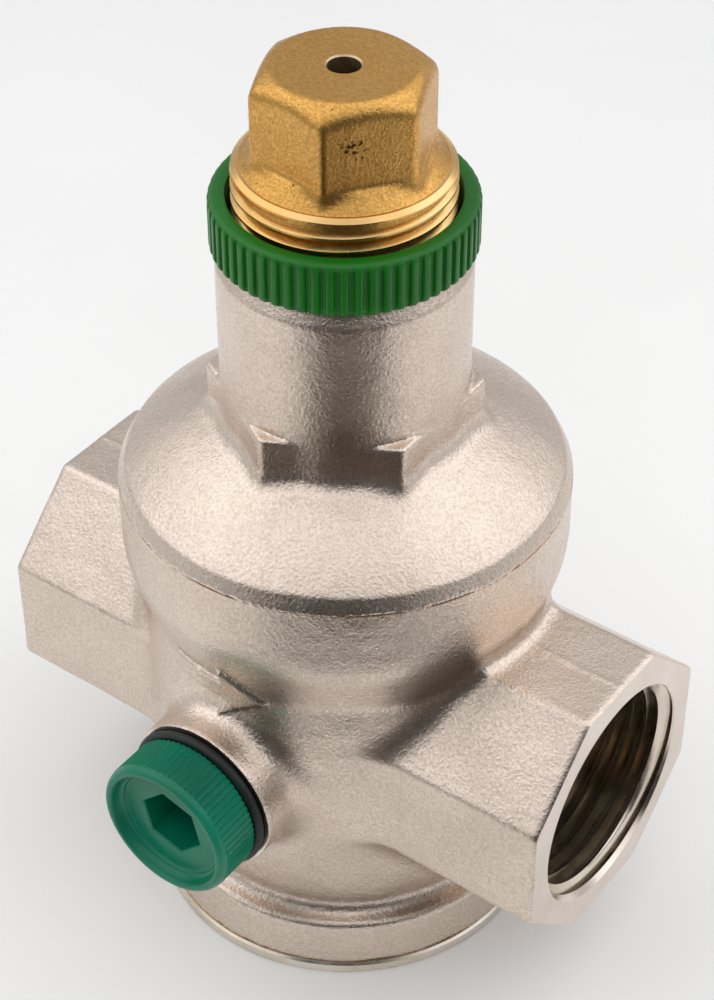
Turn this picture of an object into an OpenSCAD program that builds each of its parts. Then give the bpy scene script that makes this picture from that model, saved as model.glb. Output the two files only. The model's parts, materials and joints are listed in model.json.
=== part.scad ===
// Water pressure regulator for a three-quarter-inch line: a spring-loaded piston reducing valve.
// Millimetres. Z runs up the bonnet axis from the underside of the bottom cover.
// X runs along the line from inlet (-X) to outlet (+X). The gauge port faces -Y.

/* [Ports] */
// Distance across the flats of the octagonal port ends
port_af = 32.5; // [32:0.25:34]
// Length over the two port faces
port_span = 73.4; // [72:0.2:78]
// Height of the port axis above the underside
port_z = 29.4; // [29.2:0.1:29.6]
// Wall radius of the tapped port holes (G 3/4 minor diameter over two)
port_bore_r = 12.06; // [11.9:0.02:12.1]
// Radius of the countersink at each port mouth
mouth_r = 13.32; // [12.8:0.02:13.6]
// Depth of the countersink at each port mouth
mouth_depth = 1.65; // [0.5:0.05:2]
// Distance from the bonnet axis to the inner end of each tapped hole
port_bore_end = 19; // [18.5:0.1:20]

/* [Casting] */
// Radius of the round rim under the bonnet
rim_r = 25; // [24.8:0.1:26]
// Height of the joint face between body and bonnet
joint_z = 59; // [58.5:0.1:59.5]
// Radius of the waist above the ports
neck_r = 22.9; // [22.5:0.1:23.5]
// Radius of the ring round the foot of the body
foot_r = 22.8; // [22.5:0.1:23]
// Height of the top of the foot ring
foot_top_z = 8.2; // [8:0.1:9]
// Radius of the piston cylinder
cylinder_r = 19; // [18.9:0.05:19.1]

/* [Bonnet] */
// Outer radius of the spring housing
housing_r = 13.4; // [13.2:0.1:13.6]
// Height of the top of the spring housing
housing_top_z = 88.5; // [87:0.1:88.5]
// Distance across the flats of the wrench hexagon
bonnet_af = 26; // [26:0.1:27]
// Height of the top of the wrench hexagon
bonnet_hex_top_z = 71.8; // [70:0.1:74]
// Radius of the dome's curve in section
dome_r = 42; // [36:1:60]

/* [Adjusting cap] */
// Outer radius of the cap's M23 thread
cap_thread_r = 11.5; // [11.4:0.02:11.5]
// Distance across the flats of the cap's hexagon
cap_af = 17; // [16:0.1:18]
// Height of the top of the cap
cap_top_z = 108.8; // [106:0.1:110]
// Diameter of the vent through the cap
vent_d = 3.4; // [2:0.1:4]
// Turn of the cap's hexagon away from the line
cap_turn = -6.75; // [-30:0.25:30]

/* [Lock ring] */
// Outer radius of the lock ring over its ribs
lock_ring_r = 13.9; // [13.8:0.05:14.5]
// Inner radius of the lock ring
lock_ring_bore_r = 12; // [11.9:0.05:12.2]
// Height of the lock ring
lock_ring_h = 6; // [4:0.1:6]
// Number of ribs round the lock ring
lock_ring_ribs = 60; // [48:1:80]

/* [Gauge plug] */
// Outer radius of the plug head over its ribs
plug_head_r = 8.45; // [8.2:0.05:8.8]
// Distance from the bonnet axis to the front of the plug
plug_front = 34; // [33.6:0.1:36]
// Number of ribs round the plug head
plug_ribs = 70; // [40:1:72]
// Distance across the flats of the plug's socket
plug_socket_af = 7; // [6.8:0.1:7.2]
// Outer radius of the plug's G 1/4 thread
plug_thread_r = 6.53; // [6.5:0.01:6.55]

/* [Spring] */
// Wire diameter of the adjusting spring
wire_d = 3; // [2.6:0.1:3.2]
// Mean radius of the coils
coil_r = 7; // [6.9:0.05:7.1]
// Number of free coils between the two closed ends
active_coils = 6; // [5:1:7]

/* [Hidden] */
$fn = 96;

nickel = "#cbbfb2";
brass = "#c9a25c";
steel = "#b9bcc0";
black_rubber = "#1f2422";
ring_green = "#23873a";
plug_green = "#0a7a5c";
white_plastic = "#e8e6df";

// Radial gaps of a running fit, of a thread that stands as a plain cylinder, and of a seal in its groove
fit_gap = 0.06;
thread_gap = 0.05;
seal_gap = 0.02;
// Overrun of a cutting tool past the face that it leaves, and the length of one that only has to be long
past = 1;
long = 12;

port_half = port_span / 2;
port_corner_r = port_af / 2 / cos(22.5);
// Small flat between the crest of the port thread and its countersink
mouth_step = 0.04;

// Turned outline of the body above the foot
foot_edge = 0.4;
foot_fillet_r = 21;
foot_groove_r = 20.3;
waist = [22.2, 22.7];
neck_low_z = 36;
neck_high_z = 42;
shoulder = [24.3, 47];
rim_low_z = 51.7;

// Foot and bottom cover
cover_flange_r = 23.1;
cover_flange_h = 1.6;
cover_edge = 0.4;
cover_groove_r = 15.6;
cover_groove_top_z = 3.5;
cover_seal_section_r = 0.93;
cover_thread_r = 17.5;
cover_thread_top_z = 7.8;
cover_boss_r = 9.6;
cover_boss_top_z = 12.6;
cover_floor_z = 5;
balance_bore_r = 6.5;
balance_bore_z = 6;
balance_groove_depth = 1.58;
balance_groove_z = 8.6;
balance_groove_h = 1.7;
balance_seal_section_r = 0.8;
spanner_hole_r = 2.5;
spanner_hole_x = 13;
spanner_hole_depth = 3;

// Inside of the body, from the bottom up
lower_chamber_r = 14.5;
lower_chamber_z = 8;
partition_z = 21.5;
partition_top_z = 26.5;
seat_hole_r = 9.5;
seat_pocket_r = 11;
seat_pocket_h = 1.1;
seat_seal_section_r = 0.54;
seat_seal_mean_r = 10.22;
upper_chamber_r = 11.5;
cylinder_floor_z = 46;
bonnet_thread_r = 21.9;
bonnet_seat_z = 53;
outlet_duct_r = 7.4;
outlet_duct_z = 34;
inlet_duct_r = 6;
inlet_duct_at = [-25.5, 0, 26];
inlet_duct_len = 20;

// Gauge port
boss_r = 9.3;
boss_face = 26.9;
gauge_hole_r = 6.58;
gauge_hole_end = 17.6;
gauge_tap_r = 2;

// Valve
lift = 2;
seat_flange_r = 11.4;
seat_bore_r = 6.6;
seat_lip_r = 7.6;
seat_lip_z = 19.6;
seat_flange_z = 20.3;
seat_top_z = 27;
holder_bottom_z = 7;
holder_duct_r = 1.5;
holder_r = 10;
holder_z = 13.2;
holder_top_z = seat_lip_z - lift - 0.2;
gasket_r = 8.95;
gasket_hole_r = 3;
gasket_z = 15.4;
gasket_top_z = seat_lip_z - lift;
gasket_washer_r = 5.8;
gasket_washer_h = 0.8;
stem_r = 3.4;
stem_thread_r = 2.5;
stem_hole_r = 2.55;
stem_collar_r = 5;
stem_collar_h = 1.3;
stem_duct_r = 0.9;
stem_bottom_z = 9;
stem_duct_z = 32;
stem_end_chamfer = 0.5;
stem_seal_mean_r = 3.3;
stem_seal_section_r = 0.58;
stem_pocket_r = 4.1;
stem_pocket_h = 1.2;

// Piston
piston_r = cylinder_r - fit_gap;
piston_z = cylinder_floor_z + 0.3;
piston_top_z = piston_z + 7;
pocket_r = 8.9;
pocket_z = piston_z + 3.7;
recess_inner_r = 10.9;
recess_outer_r = 14.4;
seal_section_r = 1.28;
seal_groove_r = 16.4;
seal_groove_z = piston_z + 1.3;
seal_groove_h = 2.8;
guide_groove_r = 17.9;
guide_groove_z = piston_z + 4.7;
guide_groove_h = 1.8;
piston_washer_r = 5;
piston_washer_h = 0.8;
nut_af = 8;
nut_h = 4;
stem_top_z = 55.6;

// Bonnet
rim_edge_r = 0.6;
rim_bevel = [rim_r - 0.85, joint_z + 1.75];
dome_foot = [rim_r - 0.97, joint_z + 1.88];
dome_head = [14, joint_z + 7.75];
housing_mouth_r = 12.3;
housing_mouth_h = 1.85;
spring_bore_r = 10.4;
cap_bore_r = cap_thread_r + fit_gap;
cap_bore_z = 73.5;
skirt_bore_r = 19.3;
skirt_bore_z = 58.5;
cavity_top_z = 64.3;

// Cap and spring plate
cap_bottom_z = 78;
cap_thread_chamfer = 0.8;
cap_thread_top_z = 97;
cap_skirt_r = 10.8;
cap_skirt_z = 98.1;
cap_shoulder_r = 9.6;
cap_hex_z = 99.5;
cap_hex_r = cap_af / 2 / cos(30);
cap_face_r = 7.33;
cap_bore_inner_r = 8.9;
cap_bore_top_z = 96;
cap_pocket_r = 5;
cap_pocket_top_z = 104;
plate_r = 8.5;
plate_z = 93.2;
plate_h = 2;
plate_boss_r = 5;
plate_boss_h = 2.2;
thrust_washer_r = 8.3;
thrust_washer_hole_r = 2.4;
thrust_washer_h = 0.8;

// Lock ring
ring_z = housing_top_z + 0.03;
ring_rib_depth = 0.35;
ring_plain_r = lock_ring_r - 0.1;
ring_plain_h = 1;

// Plug
plug_head_back = 28.1;
plug_recess_r = 7.3;
plug_recess_depth = 1.7;
plug_socket_depth = 6;
plug_end = 18.6;
plug_socket_turn = 45;
plug_rib_depth = 0.25;
plug_rim_r = plug_head_r - 0.1;
plug_rim_h = 1;
plug_seal_mean_r = plug_head_r - 0.15;
plug_seal_section_r = 0.59;

// Points of an arc in the plane of a section, from one angle to another.
function arc(centre, radius, from, to, steps) = [
    for (i = [0 : steps]) let (a = from + (to - from) * i / steps)
        centre + radius * [cos(a), sin(a)]
];

// Points of a shallow arc of given radius from p to q, bulging to the right of the way from p to q.
function bulge(p, q, radius, steps) =
    let (
        chord = q - p,
        half = norm(chord) / 2,
        left = [-chord[1], chord[0]] / norm(chord),
        centre = (p + q) / 2 + left * sqrt(radius * radius - half * half),
        from = atan2(p[1] - centre[1], p[0] - centre[0]),
        to = atan2(q[1] - centre[1], q[0] - centre[0])
    ) arc(centre, radius, from, to, steps);

module o_ring(mean_r, section_r, z) {
    translate([0, 0, z])
        rotate_extrude() translate([mean_r, 0]) circle(r = section_r, $fn = 32);
}

module washer(outer_r, hole_r, z, h) {
    difference() {
        translate([0, 0, z]) cylinder(r = outer_r, h = h);
        translate([0, 0, z - past]) cylinder(r = hole_r, h = h + 2 * past);
    }
}

// Round bar with vee ribs along its side.
module ribbed_bar(outer_r, ribs, depth, h) {
    linear_extrude(height = h)
        polygon([
            for (i = [0 : 2 * ribs - 1]) let (a = 180 * i / ribs, r = outer_r - (i % 2) * depth)
                r * [cos(a), sin(a)]
        ]);
}

// Lays a shape that is drawn along +Z down along X at the height of the ports.
module along_line(direction) {
    translate([0, 0, port_z]) rotate([0, direction * 90, 0]) children();
}

// Lays a shape that is drawn along +Z down along -Y at the height of the ports.
module along_gauge_port() {
    translate([0, 0, port_z]) rotate([90, 0, 0]) children();
}

module port_hole(direction) {
    along_line(direction) {
        translate([0, 0, port_bore_end])
            cylinder(r = port_bore_r, h = port_half - port_bore_end + past);
        translate([0, 0, port_half - mouth_depth])
            cylinder(r1 = port_bore_r + mouth_step, r2 = mouth_r, h = mouth_depth);
    }
}

module body_casting() {
    rotate_extrude() polygon([
        [0, cover_flange_h], [foot_r, cover_flange_h], [foot_r, foot_top_z - foot_edge],
        [foot_r - foot_edge, foot_top_z], [foot_fillet_r, foot_top_z + 0.3],
        [foot_groove_r, foot_top_z + 1.4], waist, [neck_r, neck_low_z], [neck_r, neck_high_z],
        shoulder, [rim_r, rim_low_z],
        [rim_r, joint_z], [0, joint_z]
    ]);
    translate([-port_half, 0, port_z]) rotate([0, 90, 0]) rotate([0, 0, 22.5])
        cylinder(r = port_corner_r, h = port_span, $fn = 8);
    along_gauge_port() cylinder(r = boss_r, h = boss_face);
}

module body() {
    color(nickel) difference() {
        body_casting();
        // Foot thread and lower chamber
        cylinder(r = cover_thread_r + thread_gap, h = lower_chamber_z);
        cylinder(r = lower_chamber_r, h = partition_z);
        // Hole for the seat ring, with the pocket of its seal
        cylinder(r = seat_hole_r, h = partition_top_z + past);
        cylinder(r = seat_pocket_r, h = partition_z + seat_pocket_h);
        // Upper chamber, piston cylinder and bonnet thread
        translate([0, 0, partition_top_z])
            cylinder(r = upper_chamber_r, h = cylinder_floor_z - partition_top_z + past);
        translate([0, 0, cylinder_floor_z])
            cylinder(r = cylinder_r, h = joint_z - cylinder_floor_z + past);
        translate([0, 0, bonnet_seat_z])
            cylinder(r = bonnet_thread_r, h = joint_z - bonnet_seat_z + past);
        // Ports and their ducts
        for (direction = [-1, 1]) port_hole(direction);
        translate([0, 0, outlet_duct_z]) rotate([0, 90, 0])
            cylinder(r = outlet_duct_r, h = port_bore_end + past);
        translate(inlet_duct_at) rotate([0, 135, 0]) cylinder(r = inlet_duct_r, h = inlet_duct_len);
        // Gauge port and its tapping
        along_gauge_port() {
            translate([0, 0, gauge_hole_end]) cylinder(r = gauge_hole_r, h = boss_face);
            cylinder(r = gauge_tap_r, h = gauge_hole_end + past);
        }
    }
}

module bottom_cover() {
    color(nickel) difference() {
        rotate_extrude() polygon([
            [0, 0], [cover_flange_r - cover_edge, 0], [cover_flange_r, cover_edge],
            [cover_flange_r, cover_flange_h], [cover_groove_r, cover_flange_h],
            [cover_groove_r, cover_groove_top_z], [cover_thread_r, cover_groove_top_z],
            [cover_thread_r, cover_thread_top_z],
            [lower_chamber_r, cover_thread_top_z], [lower_chamber_r, cover_floor_z],
            [cover_boss_r, cover_floor_z], [cover_boss_r, cover_boss_top_z], [0, cover_boss_top_z]
        ]);
        translate([0, 0, balance_bore_z]) cylinder(r = balance_bore_r, h = cover_boss_top_z);
        translate([0, 0, balance_groove_z])
            cylinder(r = balance_bore_r + balance_groove_depth, h = balance_groove_h);
        for (x = [-spanner_hole_x, spanner_hole_x]) translate([x, 0, -past])
            cylinder(r = spanner_hole_r, h = spanner_hole_depth + past);
    }
}

module bottom_cover_seal() {
    color(black_rubber) o_ring(cover_groove_r + seal_gap + cover_seal_section_r, cover_seal_section_r,
        (cover_flange_h + cover_groove_top_z) / 2);
}

module balance_seal() {
    color(black_rubber) o_ring(balance_bore_r - fit_gap + seal_gap + balance_seal_section_r,
        balance_seal_section_r, balance_groove_z + balance_groove_h / 2);
}

module seat_ring() {
    color(steel) rotate_extrude() polygon([
        [seat_bore_r, seat_lip_z], [seat_lip_r, seat_lip_z], [seat_lip_r, seat_flange_z],
        [seat_flange_r, seat_flange_z], [seat_flange_r, partition_z],
        [seat_hole_r - thread_gap, partition_z], [seat_hole_r - thread_gap, seat_top_z],
        [seat_bore_r, seat_top_z]
    ]);
}

module seat_ring_seal() {
    color(black_rubber) o_ring(seat_seal_mean_r, seat_seal_section_r, partition_z + seat_pocket_h / 2);
}

module disc_holder() {
    color(brass) difference() {
        rotate_extrude() polygon([
            [0, holder_bottom_z], [balance_bore_r - fit_gap, holder_bottom_z],
            [balance_bore_r - fit_gap, holder_z], [holder_r, holder_z], [holder_r, holder_top_z],
            [gasket_r + thread_gap, holder_top_z], [gasket_r + thread_gap, gasket_z], [0, gasket_z]
        ]);
        translate([0, 0, stem_bottom_z]) cylinder(r = stem_hole_r, h = long);
        translate([0, 0, holder_bottom_z - past]) cylinder(r = holder_duct_r, h = long / 2);
    }
}

module valve_gasket() {
    color(black_rubber) washer(gasket_r, gasket_hole_r, gasket_z, gasket_top_z - gasket_z);
}

module gasket_washer() {
    color(steel) washer(gasket_washer_r, stem_hole_r, gasket_top_z, gasket_washer_h);
}

module valve_stem() {
    shoulder_z = gasket_top_z + gasket_washer_h;
    color(steel) difference() {
        rotate_extrude() polygon([
            [0, stem_bottom_z], [stem_thread_r, stem_bottom_z], [stem_thread_r, shoulder_z],
            [stem_r, shoulder_z], [stem_r, piston_z - stem_collar_h],
            [stem_collar_r, piston_z - stem_collar_h], [stem_collar_r, piston_z],
            [stem_thread_r, piston_z], [stem_thread_r, stem_top_z - stem_end_chamfer],
            [stem_thread_r - stem_end_chamfer, stem_top_z], [0, stem_top_z]
        ]);
        translate([0, 0, stem_bottom_z - past])
            cylinder(r = stem_duct_r, h = stem_duct_z - stem_bottom_z + past, $fn = 32);
        translate([-2 * stem_r, 0, stem_duct_z - stem_duct_r]) rotate([0, 90, 0])
            cylinder(r = stem_duct_r, h = 4 * stem_r, $fn = 32);
    }
}

module stem_seal() {
    color(black_rubber) o_ring(stem_seal_mean_r, stem_seal_section_r, piston_z + stem_pocket_h / 2);
}

module piston() {
    color(brass) difference() {
        translate([0, 0, piston_z]) cylinder(r = piston_r, h = piston_top_z - piston_z);
        translate([0, 0, piston_z - past]) cylinder(r = stem_hole_r, h = long);
        translate([0, 0, piston_z - past]) cylinder(r = stem_pocket_r, h = past + stem_pocket_h);
        translate([0, 0, pocket_z]) cylinder(r = pocket_r, h = long);
        washer(recess_outer_r, recess_inner_r, pocket_z, long);
        for (groove = [[seal_groove_r, seal_groove_z, seal_groove_h],
                       [guide_groove_r, guide_groove_z, guide_groove_h]])
            washer(cylinder_r + past, groove[0], groove[1], groove[2]);
    }
}

module piston_seal() {
    color(black_rubber)
        o_ring(cylinder_r - seal_gap - seal_section_r, seal_section_r, seal_groove_z + seal_groove_h / 2);
}

module piston_guide_ring() {
    color(white_plastic)
        washer(cylinder_r - fit_gap / 2, guide_groove_r + thread_gap, guide_groove_z + thread_gap,
            guide_groove_h - 2 * thread_gap);
}

module piston_washer() {
    color(steel) washer(piston_washer_r, stem_hole_r, pocket_z, piston_washer_h);
}

module piston_nut() {
    color(steel) translate([0, 0, pocket_z + piston_washer_h]) difference() {
        cylinder(r = nut_af / 2 / cos(30), h = nut_h, $fn = 6);
        translate([0, 0, -past]) cylinder(r = stem_hole_r, h = nut_h + 2 * past);
    }
}

// Height of the wire's centre after a number of turns: one closed coil at each end.
spring_low = pocket_z + wire_d / 2 + seal_gap;
spring_high = plate_z - wire_d / 2 - seal_gap;
closed_rise = wire_d + 0.05;
free_rise = (spring_high - spring_low - 2 * closed_rise) / active_coils;
spring_turns = active_coils + 2;
function wire_z(turns) = spring_low
    + closed_rise * min(turns, 1)
    + free_rise * max(0, min(turns - 1, active_coils))
    + closed_rise * max(0, turns - 1 - active_coils);

module adjusting_spring() {
    steps_per_turn = 18;
    sides = 8;
    rings = spring_turns * steps_per_turn;
    points = [
        for (i = [0 : rings], k = [0 : sides - 1])
            let (
                turns = i / steps_per_turn,
                r = coil_r + wire_d / 2 * cos(360 * k / sides)
            )
            [r * cos(360 * turns), r * sin(360 * turns), wire_z(turns) + wire_d / 2 * sin(360 * k / sides)]
    ];
    sides_of_wire = [
        for (i = [0 : rings - 1], k = [0 : sides - 1])
            let (a = i * sides + k, b = i * sides + (k + 1) % sides)
            [a, a + sides, b + sides, b]
    ];
    first_end = [[for (k = [0 : sides - 1]) k]];
    last_end = [[for (k = [sides - 1 : -1 : 0]) rings * sides + k]];
    color(steel) polyhedron(points, concat(sides_of_wire, first_end, last_end), convexity = 10);
}

module spring_plate() {
    color(steel) difference() {
        union() {
            translate([0, 0, plate_z]) cylinder(r = plate_r, h = plate_h);
            translate([0, 0, plate_z - plate_boss_h]) cylinder(r = plate_boss_r, h = plate_boss_h);
        }
        translate([0, 0, plate_z - plate_boss_h - past]) cylinder(r = vent_d / 2, h = long);
    }
}

module thrust_washer() {
    color(white_plastic) washer(thrust_washer_r, thrust_washer_hole_r, plate_z + plate_h, thrust_washer_h);
}

module bonnet() {
    color(nickel) difference() {
        union() {
            rotate_extrude() polygon(concat(
                [[0, bonnet_seat_z], [bonnet_thread_r - thread_gap, bonnet_seat_z],
                 [bonnet_thread_r - thread_gap, joint_z]],
                arc([rim_r - rim_edge_r, joint_z], rim_edge_r, 0, 28, 3),
                [rim_bevel],
                bulge(dome_foot, dome_head, dome_r, 8),
                [[housing_r, dome_head[1] + 0.5], [housing_r, housing_top_z - housing_mouth_h],
                 [housing_mouth_r, housing_top_z], [0, housing_top_z]]
            ));
            translate([0, 0, cavity_top_z]) rotate([0, 0, 30])
                cylinder(r = bonnet_af / 2 / cos(30), h = bonnet_hex_top_z - cavity_top_z, $fn = 6);
        }
        // Cavity under the dome, spring bore and cap thread
        rotate_extrude() polygon([
            [0, bonnet_seat_z - past], [skirt_bore_r, bonnet_seat_z - past],
            [skirt_bore_r, skirt_bore_z], [spring_bore_r, cavity_top_z],
            [spring_bore_r, cap_bore_z], [0, cap_bore_z]
        ]);
        translate([0, 0, cap_bore_z - 0.01]) cylinder(r = cap_bore_r, h = housing_top_z);
    }
}

module lock_ring() {
    color(ring_green) difference() {
        translate([0, 0, ring_z]) union() {
            ribbed_bar(lock_ring_r, lock_ring_ribs, ring_rib_depth, lock_ring_h - ring_plain_h);
            translate([0, 0, lock_ring_h - ring_plain_h]) cylinder(r = ring_plain_r, h = ring_plain_h);
        }
        translate([0, 0, ring_z - past]) cylinder(r = lock_ring_bore_r, h = lock_ring_h + 2 * past);
    }
}

module adjusting_cap() {
    chamfer_drop = (cap_hex_r - cap_face_r) * tan(30);
    color(brass) difference() {
        union() {
            rotate_extrude() polygon([
                [0, cap_bottom_z], [cap_thread_r - cap_thread_chamfer, cap_bottom_z],
                [cap_thread_r, cap_bottom_z + cap_thread_chamfer],
                [cap_thread_r, cap_thread_top_z], [cap_skirt_r, cap_skirt_z],
                [cap_shoulder_r, cap_hex_z], [0, cap_hex_z]
            ]);
            intersection() {
                rotate([0, 0, cap_turn]) translate([0, 0, cap_hex_z - past])
                    cylinder(r = cap_hex_r, h = cap_top_z - cap_hex_z + past, $fn = 6);
                rotate_extrude() polygon([
                    [0, cap_hex_z - past], [cap_hex_r, cap_hex_z - past],
                    [cap_hex_r, cap_top_z - chamfer_drop], [cap_face_r, cap_top_z], [0, cap_top_z]
                ]);
            }
        }
        // Spring bore, its lightening pocket and the vent
        translate([0, 0, cap_bottom_z - past])
            cylinder(r = cap_bore_inner_r, h = cap_bore_top_z + seal_gap - cap_bottom_z + past);
        translate([0, 0, cap_bore_top_z]) cylinder(r = cap_pocket_r, h = cap_pocket_top_z - cap_bore_top_z);
        translate([0, 0, cap_bore_top_z]) cylinder(r = vent_d / 2, h = cap_top_z - cap_bore_top_z + past);
    }
}

module gauge_plug() {
    color(plug_green) along_gauge_port() difference() {
        union() {
            translate([0, 0, plug_head_back])
                ribbed_bar(plug_head_r, plug_ribs, plug_rib_depth, plug_front - plug_rim_h - plug_head_back);
            translate([0, 0, plug_front - plug_rim_h]) cylinder(r = plug_rim_r, h = plug_rim_h);
            translate([0, 0, plug_end]) cylinder(r = plug_thread_r, h = plug_head_back - plug_end);
        }
        translate([0, 0, plug_front - plug_recess_depth]) cylinder(r = plug_recess_r, h = long);
        translate([0, 0, plug_front - plug_recess_depth - plug_socket_depth])
            rotate([0, 0, plug_socket_turn])
            cylinder(r = plug_socket_af / 2 / cos(30), h = long, $fn = 6);
    }
}

module gauge_plug_seal() {
    color(black_rubber) along_gauge_port()
        o_ring(plug_seal_mean_r, plug_seal_section_r, (plug_head_back + boss_face) / 2);
}

body();
bottom_cover();
bottom_cover_seal();
balance_seal();
seat_ring();
seat_ring_seal();
disc_holder();
valve_gasket();
gasket_washer();
valve_stem();
stem_seal();
piston();
piston_seal();
piston_guide_ring();
piston_washer();
piston_nut();
adjusting_spring();
spring_plate();
thrust_washer();
bonnet();
lock_ring();
adjusting_cap();
gauge_plug();
gauge_plug_seal();
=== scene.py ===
import json
import math

import bmesh
import bpy
import numpy as np
import openvdb
from mathutils import Matrix, Vector


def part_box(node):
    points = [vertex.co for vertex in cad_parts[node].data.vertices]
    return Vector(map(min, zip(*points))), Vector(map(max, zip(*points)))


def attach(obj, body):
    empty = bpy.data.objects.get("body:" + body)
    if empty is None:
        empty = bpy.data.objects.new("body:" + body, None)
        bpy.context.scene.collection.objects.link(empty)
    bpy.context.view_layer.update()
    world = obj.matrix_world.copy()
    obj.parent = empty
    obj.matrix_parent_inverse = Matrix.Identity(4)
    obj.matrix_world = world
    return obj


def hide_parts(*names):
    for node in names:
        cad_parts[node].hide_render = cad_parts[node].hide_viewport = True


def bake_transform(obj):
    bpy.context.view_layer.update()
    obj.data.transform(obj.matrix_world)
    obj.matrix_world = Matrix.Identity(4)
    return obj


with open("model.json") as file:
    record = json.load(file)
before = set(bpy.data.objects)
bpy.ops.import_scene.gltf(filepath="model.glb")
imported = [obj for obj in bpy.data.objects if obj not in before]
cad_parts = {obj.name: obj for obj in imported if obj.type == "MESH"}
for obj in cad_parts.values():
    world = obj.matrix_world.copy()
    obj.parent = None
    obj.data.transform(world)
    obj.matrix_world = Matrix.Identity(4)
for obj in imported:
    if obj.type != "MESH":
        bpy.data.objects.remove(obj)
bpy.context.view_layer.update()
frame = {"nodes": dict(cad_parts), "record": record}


# ---- Body casting ----
# The body is one hot brass forging: a round foot, a slim waist, two octagonal ends for the pipe,
# a boss for the gauge and a wide rim under the bonnet. It is shot-blasted, machined and then
# nickel plated all over, so the plate follows the blasted grain and the turned faces alike.
MM = 0.001
body_low, body_high = [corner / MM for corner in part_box("body")]
port_face = body_high.x
rim_r = body_high.y
joint_z = body_high.z
boss_face = -body_low.y
foot_z = body_low.z
outlet = next(m for m in frame["record"]["mounts"] if m["name"] == "outlet")
port_z = outlet["pos_m"][2] / MM
thread_minor_r = outlet["dims"]["r_mm"]
port_af = 32.5
boss_r = 9.3
forging_cell = 0.3


def rounded_outline(corners):
    """Closed outline through corners (radius from the axis, height, corner radius)."""
    corners = [np.array(corner, float) for corner in corners]
    points = []
    for i, corner in enumerate(corners):
        back = corners[i - 1][:2] - corner[:2]
        ahead = corners[(i + 1) % len(corners)][:2] - corner[:2]
        if corner[2] == 0:
            points.append(corner[:2])
            continue
        back /= np.linalg.norm(back)
        ahead /= np.linalg.norm(ahead)
        half = math.acos(np.clip(back @ ahead, -1, 1)) / 2
        middle = (back + ahead) / np.linalg.norm(back + ahead)
        centre = corner[:2] + middle * corner[2] / math.sin(half)
        first = corner[:2] + back * corner[2] / math.tan(half) - centre
        last = corner[:2] + ahead * corner[2] / math.tan(half) - centre
        start = math.atan2(first[1], first[0])
        turn = (math.atan2(last[1], last[0]) - start + math.pi) % (2 * math.pi) - math.pi
        steps = max(2, math.ceil(abs(turn) / math.radians(8)))
        for k in range(steps + 1):
            angle = start + turn * k / steps
            points.append(centre + corner[2] * np.array([math.cos(angle), math.sin(angle)]))
    return np.array(points)


def outline_distance(outline, u, v):
    """Distance from each (u, v) to a closed outline, below zero inside it."""
    u, v = np.broadcast_arrays(u, v)
    nearest = np.full(u.shape, 1e9)
    inside = np.zeros(u.shape, bool)
    for (au, av), (bu, bv) in zip(outline, np.roll(outline, -1, axis=0)):
        du = bu - au
        dv = bv - av
        along = np.clip(((u - au) * du + (v - av) * dv) / max(du * du + dv * dv, 1e-12), 0, 1)
        nearest = np.minimum(nearest, (u - au - along * du) ** 2 + (v - av - along * dv) ** 2)
        if dv:
            inside ^= ((av <= v) != (bv <= v)) & (u < au + (v - av) * du / dv)
    return np.where(inside, -1, 1) * np.sqrt(nearest)


def turned(outline, across, z):
    """Distances to a turned shape all over a grid; across is each column's distance from the axis."""
    radii = np.linspace(0, across.max(), 600)
    table = outline_distance(outline, radii[:, None], z[None, :])
    layers = [np.interp(across, radii, table[:, k]).astype(np.float32) for k in range(len(z))]
    return np.stack(layers, axis=-1)


def grown_together(a, b, fillet):
    """Two shapes run into one with a fillet of about that radius between them."""
    reach = 1.2 * fillet
    near = np.maximum(reach - np.abs(a - b), 0) / reach
    return np.minimum(a, b) - near * near * reach / 4


def bevelled_bar(side, end, edge):
    """A bar from the distance to its side and the distance to its ends, with rounded edges."""
    side = side + edge
    end = end + edge
    outside = np.sqrt(np.maximum(side, 0) ** 2 + np.maximum(end, 0) ** 2)
    return outside + np.minimum(np.maximum(side, end), 0) - edge


def polygon_outline(sides, across_flats, turn=0.0):
    """Corners of a regular polygon whose first flat faces along turn, in degrees."""
    reach = across_flats / 2 / math.cos(math.pi / sides)
    angles = [math.radians(turn) + math.pi * (2 * k + 1) / sides for k in range(sides)]
    return np.array([[reach * math.cos(a), reach * math.sin(a)] for a in angles])


def forge(name, distance, low, cell, finish):
    """Skins a grid of distances into a smooth piece of one finish."""
    grid = openvdb.FloatGrid(1.0)
    grid.copyFromArray(distance.astype(np.float32))
    grid.transform = openvdb.createLinearTransform(voxelSize=cell)
    points, quads = grid.convertToQuads(isovalue=0.0)
    mesh = bpy.data.meshes.new(name)
    mesh.from_pydata((points + np.array(low)) * MM, [], quads)
    mesh.materials.append(finish)
    piece = bpy.data.objects.new(name, mesh)
    bpy.context.scene.collection.objects.link(piece)
    return piece


def new_finish(name):
    """An empty node material with its shader and the object's own coordinates."""
    finish = bpy.data.materials.new(name)
    finish.use_nodes = True
    tree = finish.node_tree
    tree.nodes.clear()
    output = tree.nodes.new("ShaderNodeOutputMaterial")
    shader = tree.nodes.new("ShaderNodeBsdfPrincipled")
    tree.links.new(shader.outputs["BSDF"], output.inputs["Surface"])
    place = tree.nodes.new("ShaderNodeTexCoord").outputs["Object"]
    return finish, tree, shader, place


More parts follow.
